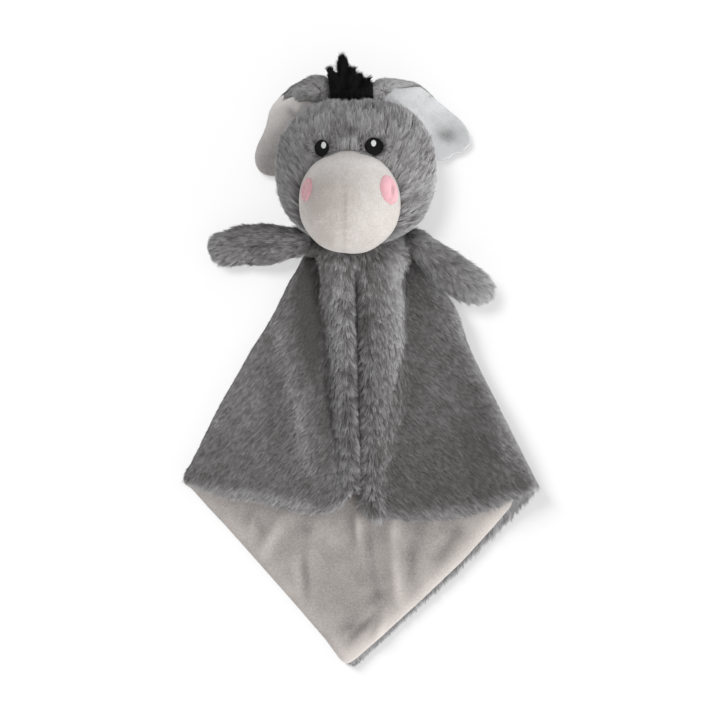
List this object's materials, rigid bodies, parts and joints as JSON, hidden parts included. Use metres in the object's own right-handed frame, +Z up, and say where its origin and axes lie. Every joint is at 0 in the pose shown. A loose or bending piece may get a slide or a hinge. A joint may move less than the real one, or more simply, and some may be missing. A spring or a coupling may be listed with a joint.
{
  "type": "comfort blanket soft toy",
  "caption": "Small two-ply plush comfort blanket with a stuffed donkey's head, floppy ears, a black mane and two stuffed arms, lying on its back.",
  "frame": {"origin": "on the surface that the toy lies on, under the middle of the whole toy", "axes": "+Z up from the surface, +Y from the blanket's tip to the mane, +X to the right as seen from above"},
  "size_m": [0.2023, 0.3481, 0.0677],
  "materials": {
    "grey_plush": "soft cut pile, about 6 mm long, brushed into small locks",
    "blanket_lining": "smooth short-pile lining",
    "ear_lining": "smooth short-pile lining",
    "muzzle_velboa": "velvety short pile",
    "stuffing": "loose polyester fibre",
    "black_thread": "dense satin stitch",
    "white_thread": "satin stitch",
    "pink_thread": "felt-like patch",
    "black_pile": "long black pile in pointed locks"
  },
  "bodies": {
    "blanket": {"back_plush_panel": "grey_plush", "back_lining_panel": "blanket_lining", "front_left_plush_panel": "grey_plush", "front_right_plush_panel": "grey_plush", "front_left_lining_panel": "blanket_lining", "front_right_lining_panel": "blanket_lining", "neck_gather": "grey_plush"},
    "head": {"head_back_panel": "grey_plush", "head_left_panel": "grey_plush", "head_right_panel": "grey_plush", "head_filling": "stuffing", "muzzle_left_panel": "muzzle_velboa", "muzzle_right_panel": "muzzle_velboa", "eye_left": "black_thread", "eye_right": "black_thread", "eye_glint_left": "white_thread", "eye_glint_right": "white_thread", "nostril_left": "pink_thread", "nostril_right": "pink_thread", "mane_tuft": "black_pile"},
    "ear_left": {"ear_left_plush_back": "grey_plush", "ear_left_lining": "ear_lining"},
    "ear_right": {"ear_right_plush_back": "grey_plush", "ear_right_lining": "ear_lining"},
    "arm_left": {"arm_left_front_panel": "grey_plush", "arm_left_back_panel": "grey_plush", "arm_left_filling": "stuffing"},
    "arm_right": {"arm_right_front_panel": "grey_plush", "arm_right_back_panel": "grey_plush", "arm_right_filling": "stuffing"}
  },
  "joints": [
    {"name": "head_nod", "type": "hinge", "parent": "blanket", "child": "head", "pos_m": [-0.002, 0.059, 0.0166], "axis": [1, 0, 0], "range_deg": [0, 50]},
    {"name": "ear_left_swing", "type": "hinge", "parent": "head", "child": "ear_left", "pos_m": [-0.0225, 0.1477, 0.02], "axis": [0, 0, -1], "range_deg": [0, 60]},
    {"name": "ear_right_swing", "type": "hinge", "parent": "head", "child": "ear_right", "pos_m": [0.016, 0.1482, 0.02], "axis": [0, 0, 1], "range_deg": [0, 60]},
    {"name": "arm_left_lift", "type": "hinge", "parent": "blanket", "child": "arm_left", "pos_m": [-0.0335, 0.0665, 0.0161], "axis": [0.5736, 0.8192, 0], "range_deg": [0, 55]},
    {"name": "arm_right_lift", "type": "hinge", "parent": "blanket", "child": "arm_right", "pos_m": [0.0315, 0.0665, 0.0161], "axis": [-0.5878, -0.809, 0], "range_deg": [0, 55]}
  ]
}
